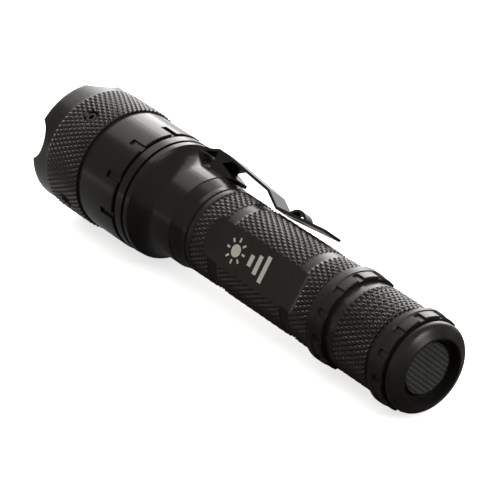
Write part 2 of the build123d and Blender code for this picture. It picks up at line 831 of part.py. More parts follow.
# ---- Clip base: the humped end of the spring clip, with its curled front edge
clip_top = clip_hump[1] + clip_thick / 2
screw_cone_r = clip_top - clip_screw_head
with BuildPart() as clip_base:
    strip((clip_break, clip_hump, clip_hump_end, clip_dip, clip_curl))
    with BuildSketch(side_plane(clip_angle)):
        with Locations(clip_curl):
            Circle(clip_curl_r)
    extrude(amount=clip_width / 2, both=True)
    with BuildSketch(station(clip_screw_x, 0, clip_angle)):
        with GridLocations(clip_screw_pitch, clip_screw_pitch, 1, 2):
            Circle(clip_hole_r)
    extrude(amount=clip_top, mode=Mode.SUBTRACT)
    with BuildSketch(station(clip_screw_x, screw_cone_r, clip_angle)):
        with GridLocations(clip_screw_pitch, clip_screw_pitch, 1, 2):
            Circle(clip_hole_r)
    extrude(amount=clip_screw_head, taper=-45, mode=Mode.SUBTRACT)
save(clip_base, "clip_base")

# ---- Clip arm: the sprung arm with its knee, touching point, lifted tip and lanyard loop
tip_slope = (clip_tip[1] - clip_touch[1]) / (clip_tip[0] - clip_touch[0])
loop_end_x = loop_rear_x + loop_length
loop_middle_x = loop_rear_x + loop_length / 2
loop_rear_r = clip_touch[1] + tip_slope * (loop_rear_x - clip_touch[0])
loop_end_r = clip_touch[1] + tip_slope * (loop_end_x - clip_touch[0])
loop_top_r = (loop_rear_r + loop_end_r) / 2 + loop_rise
loop_window = loop_length - 2 * clip_thick
with BuildPart() as clip_arm:
    strip((clip_tip, clip_touch, clip_knee, clip_break))
    with BuildSketch(station(loop_middle_x, 0, clip_angle)):
        Rectangle(loop_window, loop_width)
    extrude(amount=clip_tip[1] + clip_thick, mode=Mode.SUBTRACT)
    with BuildSketch(side_plane(clip_angle)) as loop_profile:
        with BuildLine() as loop_line:
            ThreePointArc((loop_rear_x, loop_rear_r), (loop_middle_x, loop_top_r), (loop_end_x, loop_end_r))
        trace(loop_line.line, clip_thick)
    extrude(loop_profile.sketch, amount=loop_width / 2, both=True)
save(clip_arm, "clip_arm")

# ---- Clip screws: two countersunk screws through the clip and saddle into the neck
screw_end_r = neck_r - clip_screw_depth / 2
with BuildPart() as clip_screws:
    with BuildSketch(station(clip_screw_x, screw_end_r, clip_angle)):
        with GridLocations(clip_screw_pitch, clip_screw_pitch, 1, 2):
            Circle(clip_screw_r)
    extrude(amount=screw_cone_r - screw_end_r)
    with BuildSketch(station(clip_screw_x, screw_cone_r, clip_angle)):
        with GridLocations(clip_screw_pitch, clip_screw_pitch, 1, 2):
            Circle(clip_screw_r)
    extrude(amount=clip_screw_head, taper=-45)
    with BuildSketch(station(clip_screw_x, clip_top - clip_screw_hex_depth, clip_angle)):
        with GridLocations(clip_screw_pitch, clip_screw_pitch, 1, 2):
            RegularPolygon(clip_screw_hex / 2, 6, major_radius=False)
    extrude(amount=clip_screw_hex_depth, mode=Mode.SUBTRACT)
save(clip_screws, "clip_screws")
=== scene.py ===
import math

import bmesh
import bpy
import numpy as np
from mathutils import Matrix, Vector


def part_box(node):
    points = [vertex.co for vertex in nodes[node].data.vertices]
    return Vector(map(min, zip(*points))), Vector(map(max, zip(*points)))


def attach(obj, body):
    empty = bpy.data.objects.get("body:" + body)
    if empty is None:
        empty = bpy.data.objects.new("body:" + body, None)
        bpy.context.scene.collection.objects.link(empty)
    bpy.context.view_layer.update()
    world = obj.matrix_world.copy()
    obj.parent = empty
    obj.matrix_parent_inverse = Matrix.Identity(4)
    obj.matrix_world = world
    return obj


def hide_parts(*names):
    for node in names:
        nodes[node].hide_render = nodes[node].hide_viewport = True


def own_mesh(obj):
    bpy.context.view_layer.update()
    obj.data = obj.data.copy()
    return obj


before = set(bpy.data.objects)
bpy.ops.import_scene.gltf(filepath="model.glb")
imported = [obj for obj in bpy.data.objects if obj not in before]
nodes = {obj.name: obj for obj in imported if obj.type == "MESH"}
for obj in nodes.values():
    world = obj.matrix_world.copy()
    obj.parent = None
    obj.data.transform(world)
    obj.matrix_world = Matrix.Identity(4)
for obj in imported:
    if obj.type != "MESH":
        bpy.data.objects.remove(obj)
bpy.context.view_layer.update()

# ---- Battery tube
# A 6061 aluminium tube, turned and then cross-knurled in three bands between two plain grooves.
# Two opposite flats are milled through the knurl, and the whole tube is hard anodised black.
mm = 0.001
tube_r = 12.7
tube_bore = 9.45
tube_groove = 12.25
knurl_diagonal = 2.7
knurl_depth = 0.42
knurl_top = 0.75
tube_starts = 52
tube_bands = ((35.6, 42.8), (46.9, 73.5), (77.9, 84.9))
flat_angle = math.radians(57.5)
flat_height = 10.94
flat_rear = 40.3
flat_front = 81.0
flat_cutter = 3.2
clear_of_cutter = 99
knurl_row = knurl_diagonal / 8
band_chamfer = 0.25
tube_columns = tube_starts * 8


def linear(code):
    """One sRGB hex value turned to a linear colour with full alpha."""
    parts = np.array([int(code[i:i + 2], 16) for i in (1, 3, 5)]) / 255
    parts = np.where(parts > 0.04045, ((parts + 0.055) / 1.055) ** 2.4, parts / 12.92)
    return (*[float(p) for p in parts], 1.0)


def add(tree, kind, settings=None, links=None):
    """Adds one node. Settings go to its sockets by name or place, or else to the node; links join sockets."""
    made = tree.nodes.new(kind)
    for key, value in (settings or {}).items():
        if isinstance(key, int) or key in made.inputs:
            made.inputs[key].default_value = value
        else:
            setattr(made, key, value)
    for key, source in (links or {}).items():
        tree.links.new(source, made.inputs[key])
    return made


def finish(name, dark, light, metallic, rough, grain, relief, stretch=(1, 1, 1), sockets=None, wear_and_sheen=None):
    """A surface with two noises on Object coordinates, a fine one of the grain's size in mm and a broad
    one. Half of each runs the colour from dark to light and the roughness between its two values, and
    the fine one gives a bump of the given relief in mm. wear_and_sheen is (colour, roughness change) for
    crests, read from the piece's own crest attribute: rubbed wear, and on the knurl also a painted sheen."""
    broad_grain = 14
    made = bpy.data.materials.new(name)
    made.use_nodes = True
    tree = made.node_tree
    tree.nodes.clear()
    place = add(tree, "ShaderNodeTexCoord")
    scaled = add(tree, "ShaderNodeMapping", {"Scale": stretch}, {"Vector": place.outputs["Object"]})
    noise = add(tree, "ShaderNodeTexNoise", {"Scale": 1 / (grain * mm), "Detail": 3.0, "Roughness": 0.55},
                {"Vector": scaled.outputs[0]})
    grey = noise.outputs["Fac"]
    broad = add(tree, "ShaderNodeTexNoise", {"Scale": 1 / (broad_grain * mm), "Detail": 2.0},
                {"Vector": place.outputs["Object"]})
    both = add(tree, "ShaderNodeMath", {"operation": "MULTIPLY_ADD", 1: 0.5}, {0: broad.outputs["Fac"]})
    half = add(tree, "ShaderNodeMath", {"operation": "MULTIPLY", 1: 0.5}, {0: grey})
    tree.links.new(half.outputs[0], both.inputs[2])
    spread = add(tree, "ShaderNodeMapRange", {"From Min": 0.3, "From Max": 0.7}, {"Value": both.outputs[0]})
    colour = add(tree, "ShaderNodeMix", {"data_type": "RGBA", 6: linear(dark), 7: linear(light)},
                 {0: spread.outputs[0]}).outputs[2]
    rub = add(tree, "ShaderNodeMapRange", {"To Min": rough[0], "To Max": rough[1]},
              {"Value": spread.outputs[0]}).outputs[0]
    if wear_and_sheen:
        crest = add(tree, "ShaderNodeAttribute", {"attribute_name": "crest"}).outputs["Fac"]
        edge = add(tree, "ShaderNodeMath", {"operation": "MULTIPLY"}, {0: crest, 1: grey}).outputs[0]
        colour = add(tree, "ShaderNodeMix", {"data_type": "RGBA", 7: linear(wear_and_sheen[0])},
                     {0: edge, 6: colour}).outputs[2]
        rub = add(tree, "ShaderNodeMath", {"operation": "MULTIPLY_ADD", 1: wear_and_sheen[1]},
                  {0: edge, 2: rub}).outputs[0]
    bump = add(tree, "ShaderNodeBump", {"Strength": 1.0, "Distance": relief * mm}, {"Height": grey})
    shader = add(tree, "ShaderNodeBsdfPrincipled", {"Metallic": metallic, **(sockets or {})},
                 {"Base Color": colour, "Roughness": rub, "Normal": bump.outputs[0]})
    add(tree, "ShaderNodeOutputMaterial", links={"Surface": shader.outputs[0]})
    return made


def walk(outline):
    """Walks round a closed outline of (x, r, spacing) corners in mm and returns x and r for each row.
    The run that starts at a corner is divided evenly at about its spacing, and 0 leaves it whole."""
    rows = []
    for (x0, r0, spacing), (x1, r1, _) in zip(outline, outline[1:] + outline[:1]):
        count = max(1, round(math.hypot(x1 - x0, r1 - r0) / spacing)) if spacing else 1
        share = np.arange(count)[:, None] / count
        rows.append((1 - share) * (x0, r0) + share * (x1, r1))
    return np.concatenate(rows).T


def spread_round(outline, columns):
    """The outline's rows repeated at equal angles from +Z towards +Y: arrays of x, r and angle."""
    x, r = walk(outline)
    turn = np.arange(columns) * 2 * math.pi / columns
    return (np.repeat(x[:, None], columns, 1), np.repeat(r[:, None], columns, 1),
            np.repeat(turn[None, :], len(x), 0))


def knurl(x, angle, starts, first):
    """Height of a 30 degree diamond knurl, 0 in the grooves and 1 on the crests. Two triangle waves
    spiral opposite ways, one turn of phase per diagonal; the lower wave counts, with its top cut flat."""
    along, around = (x - first) / knurl_diagonal, starts * angle / (2 * math.pi)
    waves = [2 * np.abs(phase % 1 - 0.5) for phase in (along + around, along - around)]
    return np.minimum(np.minimum(*waves) / knurl_top, 1)


def turned_mesh(name, x, r, angle, body, material, crest=None, sharp=32):
    """A closed skin through rows and columns of points at (x, r sin angle, r cos angle), in mm. Each
    cell is two triangles split along its lower diagonal, so grooves stay clean, and poles are merged."""
    rows, columns = x.shape
    points = np.stack([x, r * np.sin(angle), r * np.cos(angle)], -1).reshape(-1, 3) * mm
    i, j = np.meshgrid(np.arange(rows), np.arange(columns), indexing="ij")
    below, beside = (i + 1) % rows, (j + 1) % columns
    a, b, c, d = (p * columns + q for p, q in ((i, j), (below, j), (below, beside), (i, beside)))
    height = r.reshape(-1)
    cut = (height[a] + height[c] <= height[b] + height[d])[..., None]
    faces = np.concatenate([np.where(cut, np.stack([a, b, c], -1), np.stack([a, b, d], -1)),
                            np.where(cut, np.stack([a, c, d], -1), np.stack([b, c, d], -1))]).reshape(-1, 3)
    mesh = bpy.data.meshes.new(name)
    mesh.from_pydata(points, [], faces.tolist())
    if crest is not None:
        layer = mesh.attributes.new("crest", "FLOAT", "POINT")
        layer.data.foreach_set("value", crest.reshape(-1).astype(np.float32))
    if (r < 1e-6).any():
        shape = bmesh.new()
        shape.from_mesh(mesh)
        bmesh.ops.remove_doubles(shape, verts=shape.verts, dist=1e-7)
        shape.to_mesh(mesh)
        shape.free()
    mesh.shade_smooth()
    mesh.set_sharp_from_angle(angle=math.radians(sharp))
    mesh.materials.append(material)
    piece = bpy.data.objects.new(name, mesh)
    bpy.context.scene.collection.objects.link(piece)
    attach(piece, body)
    return piece


# Hard anodised and knurled aluminium: near black with a warm cast, satin, brighter on the crests, partly from
# rubbed wear and partly a painted sheen.
knurled_anodise = finish("hard_anodised_knurl", "#232220", "#2f2d2a", 0.45, (0.24, 0.34), 0.12, 0.005,
                         wear_and_sheen=("#4a4843", -0.06))

tube_outline = [
    (35.6, tube_bore, 0), (35.6, 12.45, 0), (35.85, tube_r, knurl_row), (42.8, tube_r, 0),
    (43.05, tube_groove, 1), (46.65, tube_groove, 0), (46.9, tube_r, knurl_row), (73.5, tube_r, 0),
    (73.75, tube_groove, 1), (77.65, tube_groove, 0), (77.9, tube_r, knurl_row), (84.9, tube_r, 0.5),
    (86.95, tube_r, 0), (87.2, 12.45, 0), (87.2, tube_bore, 3)]
x, r, angle = spread_round(tube_outline, tube_columns)
outside = r > (tube_bore + tube_groove) / 2
banded = outside & np.any([(x >= first) & (x <= last) for first, last in tube_bands], axis=0)
tooth = knurl(x, angle, tube_starts, tube_bands[0][0] + band_chamfer)
r = np.where(banded, np.minimum(r, tube_r - knurl_depth * (1 - tooth)), r)
run_out = np.maximum(np.maximum(flat_rear + flat_cutter - x, x - flat_front + flat_cutter), 0)
lift = flat_cutter - np.sqrt(np.maximum(flat_cutter ** 2 - run_out ** 2, 0))
lift = np.where(run_out < flat_cutter, lift, clear_of_cutter)
facing = np.abs(np.cos(angle - flat_angle))
flat_r = (flat_height + lift) / np.maximum(facing, 0.05)
milled = outside & (flat_r < r)
r = np.where(milled, flat_r, r)
# The crest attribute makes the knurl's crests paler and glossier: rubbed wear with a painted sheen.
battery_tube = turned_mesh("battery_tube_grip", x, r, angle, "tube_group", knurled_anodise,
                           crest=np.where(banded & ~milled, tooth ** 3, 0))

# ---- Threaded ends of the battery tube
# The tube's two ends carry a 1.25 mm right-hand thread and a groove for a sealing ring. They are
# turned from the same bar, and the mating threads rub their crests paler.
thread_r = 11.1
thread_pitch = 1.25
thread_depth = 0.6
thread_slope = 1.3
thread_run_out = 1.0
thread_gap = 1.6
thread_columns = 128
end_r = thread_r - 0.5
sleeve_r = tube_bore + 0.01
seal_floor = 10.15
seal_half = 0.65

# Anodised thread, rubbed by its mate: the same black with grey, glossier crests.
thread_anodise = finish("hard_anodised_thread", "#262523", "#3a3936", 0.6, (0.25, 0.38), 0.2, 0.004,
                        wear_and_sheen=("#77746c", -0.08))
for end, near, far, seal in (("rear", 22.3, 35.7, 32.9), ("front", 87.1, 98.0, 89.6)):
    thread_from, thread_to = (near, seal - thread_gap) if end == "rear" else (seal + thread_gap, far)
    seal_outline = [(seal - seal_half, thread_r, 0), (seal - seal_half, seal_floor, 0),
                    (seal + seal_half, seal_floor, 0), (seal + seal_half, thread_r, 0)]
    cut_outline = [(thread_from + 0.1, thread_r, thread_pitch / 8), (thread_to - 0.1, thread_r, 0)]
    order = cut_outline + seal_outline if end == "rear" else seal_outline + cut_outline
    x, r, angle = spread_round([(near, sleeve_r, 0), (near, end_r, 0)] + order
                               + [(far, end_r, 0), (far, sleeve_r, 0)], thread_columns)
    phase = (x / thread_pitch + angle / (2 * math.pi)) % 1
    ridge = np.minimum(np.abs(2 * phase - 1) * thread_slope, 1)
    fade = np.clip(np.minimum(x - thread_from, thread_to - x) / thread_run_out, 0, 1)
    threaded = (x > thread_from) & (x < thread_to) & (r > end_r + 0.1)
    r = np.where(threaded, thread_r - thread_depth * (1 - ridge) * fade, r)
    turned_mesh(f"battery_tube_{end}_thread", x, r, angle, "tube_group", thread_anodise,
                crest=np.where(threaded, ridge ** 2, 0))
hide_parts("battery_tube")

# ---- Brightness mark on the flat
# A pale print on the upper flat, only a few hundredths of a millimetre thick. It shows a lamp disc
# with eight rays and three bars of growing length, a plain pictogram for the light's levels.
mark_x = 69.4
disc_r = 1.75
disc_sides = 48
ray_count = 8
ray_from, ray_to, ray_width = 2.5, 3.7, 0.6
first_bar = 6.4
bar_width = 1.5
bar_lengths = (3.2, 5.4, 7.6)
bar_pitch = 2.9
print_thick = 0.02


def face_outward(mesh):
    """Turns every face of a closed mesh outward."""
    shape = bmesh.new()
    shape.from_mesh(mesh)
    bmesh.ops.recalc_face_normals(shape, faces=shape.faces)
    shape.to_mesh(mesh)
    shape.free()


# Screen-printed epoxy ink: warm pale grey, matt, slightly uneven in cover.
pale_ink = finish("pale_screen_ink", "#b9b6ac", "#d2cfc6", 0.0, (0.5, 0.65), 0.25, 0.003)
disc_turn = np.arange(disc_sides) * 2 * math.pi / disc_sides
outlines = [disc_r * np.stack([np.cos(disc_turn), np.sin(disc_turn)], 1) + (mark_x, 0)]
block = np.array([(0, -0.5), (1, -0.5), (1, 0.5), (0, 0.5)])
for turn in np.arange(ray_count) * 2 * math.pi / ray_count:
    ray = block * (ray_to - ray_from, ray_width) + (ray_from, 0)
    outlines.append(ray @ np.array([(math.cos(turn), math.sin(turn)), (-math.sin(turn), math.cos(turn))])
                    + (mark_x, 0))
for step, bar in enumerate(bar_lengths):
    outlines.append((block - (0.5, 0)) * (bar_width, bar) + (mark_x - first_bar - bar_pitch * step, 0))
points, faces = [], []
for outline in outlines:
    count, first = len(outline), len(points)
    for height in (flat_height, flat_height + print_thick):
        x, across = outline.T
        points.extend(np.stack([x, height * math.sin(flat_angle) - across * math.cos(flat_angle),
                                height * math.cos(flat_angle) + across * math.sin(flat_angle)], 1) * mm)
    ring = np.arange(count)
    beside = (ring + 1) % count
    faces.append((first + ring[::-1]).tolist())
    faces.append((first + count + ring).tolist())
    faces.extend(np.stack([first + ring, first + beside, first + count + beside,
                           first + count + ring], 1).tolist())
mesh = bpy.data.meshes.new("brightness_mark")
mesh.from_pydata(points, [], faces)
mesh.materials.append(pale_ink)
face_outward(mesh)
mark = bpy.data.objects.new("brightness_mark", mesh)
bpy.context.scene.collection.objects.link(mark)
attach(mark, "tube_group")

# ---- Sealing rings
# Nitrile O-rings on both tube ends and behind the bezel, and the gasket in front of the window.
# They are moulded and lightly greased.


def dress(material, *names):
    """Gives a material to carried-over nodes, in place of the one they came with."""
    for name in names:
        nodes[name].data.materials.clear()
        nodes[name].data.materials.append(material)


# Greased nitrile rubber: black, smooth and faintly glossy.
seal_rubber = finish("greased_nitrile_rubber", "#101010", "#191918", 0.0, (0.22, 0.4), 0.4, 0.004)
dress(seal_rubber, "rear_o_ring", "front_o_ring", "bezel_o_ring", "lens_gasket")

# ---- Battery cell
# A lithium cell in a shrunk PVC sleeve. Its nickel-plated cap stands through a fibre ring at the
# front end.

# Shrunk PVC sleeve: blue, glossy, with faint waves from the shrinking.
cell_sleeve = finish("shrunk_pvc_sleeve", "#27538c", "#3465a6", 0.0, (0.18, 0.28), 3.0, 0.04)
# Pressed fibre ring: off white, matt, with a fine mottle.
fibre_ring = finish("pressed_fibre", "#d8d3c2", "#ece8dc", 0.0, (0.7, 0.85), 0.3, 0.01)
# Nickel plate on deep-drawn steel: bright, with faint draw lines.
nickel_plate = finish("nickel_plate", "#bdbdbb", "#dadad6", 1.0, (0.14, 0.26), 0.3, 0.002, (8, 1, 1))
dress(cell_sleeve, "battery_cell")
dress(fibre_ring, "cell_insulator")
dress(nickel_plate, "cell_positive_cap")

# ---- Tail cap
# Turned from the same bar: a chamfered rim round the switch recess, a cross-knurled barrel and two
# stepped grip rings, each with twelve milled slots. Its thread holds it on the tube.
cap_outline = [
    (0, 9.2, 0), (0, 9.55, 0), (0.15, 9.8, 0), (0.9, 11.15, 0), (1.25, 11.72, 0), (1.6, 12.15, 0),
    (1.95, 12.46, 0), (2.3, 12.64, 0), (2.7, 12.7, 0), (3.35, 12.7, 0), (3.55, 12.5, 0),
    (3.75, 11.9, 0), (4.6, 11.9, 0), (4.6, 13.2, 0), (4.85, 13.45, 0.2), (7.8, 13.45, 0),
    (8.05, 13.7, 0.5), (9.35, 13.7, 0), (9.6, 13.45, 0),
    (9.6, 12.1, 0), (11.65, 12.1, 0), (11.9, tube_r, knurl_row), (24.4, tube_r, 0), (24.7, 12.62, 1),
    (28.7, 12.1, 0), (28.7, 13.2, 0), (28.95, 13.45, 0.2), (31.9, 13.45, 0), (32.15, 13.7, 0.5),
    (34.45, 13.7, 0), (34.7, 13.45, 0), (35.1, 12.85, 0), (35.3, 12.6, 0), (35.3, 11.2, 0),
    (22.0, 11.2, 0), (22.0, 10.1, 0), (4.8, 10.1, 0), (4.8, 7.9, 0), (3.2, 7.9, 0), (3.2, 9.2, 0)]
cap_band = (11.9, 24.4)
grip_rings = (4.6, 28.7)
slot_count = 12
slot_floor = 12.9
slot_half = 1.0
slot_length = 3.2
cap_columns = tube_starts * 9
x, r, angle = spread_round(cap_outline, cap_columns)
banded = (x >= cap_band[0]) & (x <= cap_band[1]) & (r > tube_r - knurl_depth)
tooth = knurl(x, angle, tube_starts, cap_band[0])
r = np.where(banded, np.minimum(r, tube_r - knurl_depth * (1 - tooth)), r)
slot_turn = 2 * math.pi / slot_count
sideways = (((angle / slot_turn + 0.5) % 1) - 0.5) * slot_turn * r
for ring_x in grip_rings:
    past = np.maximum(x - (ring_x + slot_length - slot_half), 0)
    slotted = (x >= ring_x - 0.01) & (x <= ring_x + slot_length) & (np.hypot(past, sideways) < slot_half)
    r = np.where(slotted & (r > slot_floor), slot_floor, r)
tail_cap = turned_mesh("tail_cap_barrel", x, r, angle, "tail_group", knurled_anodise,
                       crest=np.where(banded, tooth ** 3, 0))
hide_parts("tail_cap")

# ---- Switch boot
# A moulded silicone cap in the tail recess, clamped by its flange. Its face has a fine pyramid grip
# and gives way under the thumb, so it flattens when the button is pressed.
boot_face = 2.0
boot_r = 7.2
boot_pitch = 1.2
boot_relief = 0.4
boot_top = 0.7
boot_pad_r = 6.9
boot_flange_x = 4.8
boot_columns = 240
boot_outline = [
    (boot_face, 0, 0.13), (boot_face, boot_pad_r, 0.15), (boot_face + 0.25, boot_r, 0.5),
    (boot_flange_x, 7.3, 0), (boot_flange_x, 9.95, 0), (6.0, 9.95, 0), (6.0, 6.4, 0), (3.4, 6.4, 1),
    (3.4, 0, 0)]

# Silicone rubber with a moulded grip: dark grey, matt, dusty on the crests.
boot_rubber = finish("moulded_silicone_rubber", "#2b2c28", "#363732", 0.0, (0.55, 0.7), 0.15, 0.01,
                     wear_and_sheen=("#4b4c46", 0.05))
x, r, angle = spread_round(boot_outline, boot_columns)
y, z = r * np.sin(angle), r * np.cos(angle)
diagonals = [(y + z) * math.sqrt(0.5), (y - z) * math.sqrt(0.5)]
waves = [2 * np.abs((across / boot_pitch) % 1 - 0.5) for across in diagonals]
pyramid = np.minimum(np.minimum(*waves) / boot_top, 1)
face = (x < boot_face + 0.01) & (r < boot_pad_r + 0.01)
x = np.where(face, x + boot_relief * (1 - pyramid), x)
boot = turned_mesh("switch_boot_cap", x, r, angle, "tail_group", boot_rubber,
                   crest=np.where(face, pyramid, 0), sharp=50)
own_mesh(boot)
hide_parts("switch_boot")

# ---- Switch stack
# A steel washer, a moulded cup, the click switch with its plunger, a round board, a brass retaining
# ring and two coil springs, all held in the tail cap.

# Stamped stainless washer: pale, with a rolled grain.
washer_steel = finish("stamped_stainless", "#a3a3a0", "#bebebb", 1.0, (0.28, 0.4), 0.15, 0.003, (1, 6, 1))
# Injection-moulded nylon, black: a fine spark texture, semi-matt.
black_nylon = finish("moulded_nylon_black", "#18191a", "#222325", 0.0, (0.45, 0.6), 0.2, 0.01)
# Injection-moulded nylon, grey, as the switch housing.
grey_nylon = finish("moulded_nylon_grey", "#636467", "#77787a", 0.0, (0.45, 0.6), 0.2, 0.01)
# Acetal, natural white: slightly waxy, with a soft gloss.
white_acetal = finish("acetal_white", "#e2e0d9", "#f0eee8", 0.0, (0.3, 0.42), 0.8, 0.004)
# Epoxy glass board under green solder mask: glossy, with the weave faintly showing.
solder_mask_green = finish("green_solder_mask", "#18502e", "#246539", 0.0, (0.2, 0.32), 0.5, 0.008, (1, 1, 3))
# Turned brass: yellow, with fine tool rings.
turned_brass = finish("turned_brass", "#a9852f", "#c29c46", 1.0, (0.2, 0.32), 0.15, 0.003, (10, 1, 1))
# Gold plate over spring wire: warm and bright, with drawn streaks.
gold_plate = finish("gold_plate", "#bf9642", "#d3ad58", 1.0, (0.18, 0.28), 0.3, 0.002)
# Zinc-plated spring wire: pale and bright.
zinc_wire = finish("zinc_plated_wire", "#b5b4af", "#d0cfca", 1.0, (0.2, 0.32), 0.3, 0.002)
dress(washer_steel, "boot_washer")
dress(black_nylon, "switch_carrier")
dress(grey_nylon, "switch_body")
dress(white_acetal, "switch_plunger")
dress(solder_mask_green, "switch_board")
dress(turned_brass, "switch_retainer")
dress(gold_plate, "tail_spring")

# The return spring's coil is made again here, as a wire that runs the length of the carried-over spring.
spring_from, spring_to = (corner[0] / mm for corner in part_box("return_spring"))
coil_r = 1.7
coil_wire_r = 0.2
coil_pitch = 0.8


def coil_mesh(name, around=10, per_turn=36):
    """A round wire whose centre runs (x, radius sin t, radius cos t) with x rising evenly by one pitch
    per turn. Each section is a circle of points, and the two ends are closed by one face each."""
    turns = (spring_to - spring_from - 2 * coil_wire_r) / coil_pitch
    t = np.linspace(0, turns * 2 * math.pi, int(turns * per_turn))[:, None]
    section = np.arange(around)[None, :] * 2 * math.pi / around
    reach = coil_r + coil_wire_r * np.cos(section)
    x = spring_from + coil_wire_r + coil_pitch * t / (2 * math.pi) + coil_wire_r * np.sin(section)
    points = np.stack([x, reach * np.sin(t), reach * np.cos(t)], -1).reshape(-1, 3) * mm
    i, j = np.meshgrid(np.arange(len(t) - 1), np.arange(around), indexing="ij")
    beside = (j + 1) % around
    faces = np.stack([i * around + j, (i + 1) * around + j, (i + 1) * around + beside,
                      i * around + beside], -1).reshape(-1, 4).tolist()
    end = (len(t) - 1) * around
    mesh = bpy.data.meshes.new(name)
    mesh.from_pydata(points, [], faces + [list(range(around)), list(range(end, end + around))])
    face_outward(mesh)
    mesh.shade_smooth()
    mesh.set_sharp_from_angle(angle=math.radians(50))
    return mesh


coil = bpy.data.objects.new("return_spring_coil", coil_mesh("return_spring_coil"))
coil.data.materials.append(zinc_wire)
bpy.context.scene.collection.objects.link(coil)
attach(coil, "tail_group")
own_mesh(coil)
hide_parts("return_spring")

# ---- Head body
# One turned piece: collar, neck, flared bell, cooling rings and the notched head ring, with the
# bezel's thread ahead of it. It is turned finer than the tube.

# Hard anodised turned aluminium: near black and glossy, with fine tool rings.
head_anodise = finish("hard_anodised_turned", "#1d1c1a", "#272523", 0.45, (0.17, 0.24), 0.12, 0.0012,
                      (6, 1, 1))
dress(head_anodise, "head_body")

# ---- Pill, driver and emitter
# A bare aluminium cup that carries the driver board behind and the emitter board in front, with
# the contact spring, two silicone-covered wires and the white centring ring.

# Turned bare aluminium: pale, with tool rings that streak the shine.
bare_aluminium = finish("turned_aluminium", "#b2b3b5", "#cbccce", 1.0, (0.24, 0.36), 0.15, 0.004, (10, 1, 1))
# White solder mask on an aluminium-core board.
solder_mask_white = finish("white_solder_mask", "#dcdcd6", "#ecece7", 0.0, (0.25, 0.38), 0.5, 0.004)
# Moulded epoxy of a chip: near black, matt.
chip_epoxy = finish("moulded_epoxy", "#191a1c", "#232427", 0.0, (0.5, 0.65), 0.15, 0.006)
# Sintered ferrite: dark grey, sooty and slightly pitted.
ferrite_core = finish("sintered_ferrite", "#2f2f32", "#45454a", 0.1, (0.5, 0.7), 0.25, 0.012)
# Silicone wire cover: red, soft gloss.
silicone_cover = finish("silicone_wire_cover", "#942219", "#ad2f25", 0.0, (0.38, 0.5), 0.4, 0.005)
# Ceramic body of the emitter: off white, with a soft gloss.
emitter_ceramic = finish("emitter_ceramic", "#dfdccf", "#efece2", 0.0, (0.4, 0.55), 0.2, 0.004)
dress(bare_aluminium, "pill")
dress(solder_mask_green, "driver_board")
dress(chip_epoxy, "driver_chip")
dress(ferrite_core, "driver_coil")
dress(gold_plate, "driver_spring")
dress(silicone_cover, "led_wires")
dress(solder_mask_white, "led_board")
dress(emitter_ceramic, "led_emitter")
dress(white_acetal, "centring_ring")

# Clear silicone dome over yellow phosphor: it shows the phosphor's colour through a wet gloss.
dome_silicone = finish("silicone_dome", "#d9bf4e", "#ecd56f", 0.0, (0.05, 0.1), 0.5, 0.0,
                       sockets={"Transmission Weight": 0.35, "IOR": 1.41})
dress(dome_silicone, "led_dome")

# ---- Reflector and window
# A machined cup with a vapour-coated mirror stands in front of the emitter. A window of coated
# mineral glass closes it.

# Vapour-coated mirror over a fine orange peel that softens the beam.
vapour_mirror = finish("vapour_coated_mirror", "#e0e0e2", "#eeeeef", 1.0, (0.03, 0.07), 1.1, 0.006)
# Ground and polished mineral glass with an anti-reflection coat: clear, with faint smears.
window_glass = finish("polished_mineral_glass", "#f1f6f7", "#ffffff", 0.0, (0.0, 0.02), 6.0, 0.0,
                      sockets={"Transmission Weight": 1.0, "IOR": 1.5})
dress(vapour_mirror, "reflector")
dress(window_glass, "lens")

# ---- Strike bezel
# A screwed ring that holds the window: cross-knurled, with a plain crown cut by four scallops and
# four tapped holes for the locking screws.
bezel_r = 18.2
bezel_starts = 75
bezel_columns = bezel_starts * 8
bezel_inner_r = 16.5
bezel_band = (130.4, 144.7)
mouth_bore_r = 14.6
crown_r = 17.8
crown_front = 151.7
crown_base = 146.1
scallop_r = 6.4
scallop_depth = 3.6
scallop_centre = crown_front + scallop_r - scallop_depth
scallop_turn = math.radians(70)
hole_x = 137.7
hole_turn = math.radians(25)
hole_r = 1.55
hole_floor = 16.6
pocket_r = 2.1
pocket_floor = 16.9
mouth_r = 2.35
edge_snap = 0.12
edge_margin = 0.17
slack = 0.01
bezel_outline = [
    (130.4, bezel_inner_r, 0), (130.4, 17.95, 0), (130.65, bezel_r, knurl_row), (144.7, bezel_r, 0),
    (144.95, crown_r, 0.5), (crown_base, crown_r, 0.5), (151.3, crown_r, 0), (151.58, 17.68, 0),
    (crown_front, 17.4, 0), (crown_front, 15.0, 0), (151.58, 14.72, 0), (151.3, mouth_bore_r, 0.6),
    (crown_base, mouth_bore_r, 0), (crown_base, bezel_inner_r, 3)]


def quarter_turn(angle, first):
    """Angle from the nearest of four equal places round the ring, the first at the given angle."""
    return (angle - first + math.pi / 4) % (math.pi / 2) - math.pi / 4


x, r, angle = spread_round(bezel_outline, bezel_columns)
banded = (x >= bezel_band[0]) & (x <= bezel_band[1]) & (r > bezel_inner_r + 0.5)
tooth = knurl(x, angle, bezel_starts, bezel_band[0] + band_chamfer)
r = np.where(banded, np.minimum(r, bezel_r - knurl_depth * (1 - tooth)), r)
crown = x > crown_base
off_axis = np.minimum(np.abs(r * np.sin(quarter_turn(angle, scallop_turn))), scallop_r)
rim = np.minimum(crown_front, scallop_centre - np.sqrt(scallop_r ** 2 - off_axis ** 2))
x = np.where(crown, crown_base + (x - crown_base) * (rim - crown_base) / (crown_front - crown_base), x)
away, round_it = x - hole_x, quarter_turn(angle, hole_turn) * bezel_r
reach = np.maximum(np.hypot(away, round_it), 1e-6)
snapped = reach
for edge in (hole_r, pocket_r, mouth_r):
    snapped = np.where(np.abs(reach - edge) < edge_snap, edge, snapped)
near_hole = banded & (reach < mouth_r + edge_margin)
x = np.where(near_hole, hole_x + away * snapped / reach, x)
angle = np.where(near_hole, angle + round_it * (snapped / reach - 1) / bezel_r, angle)
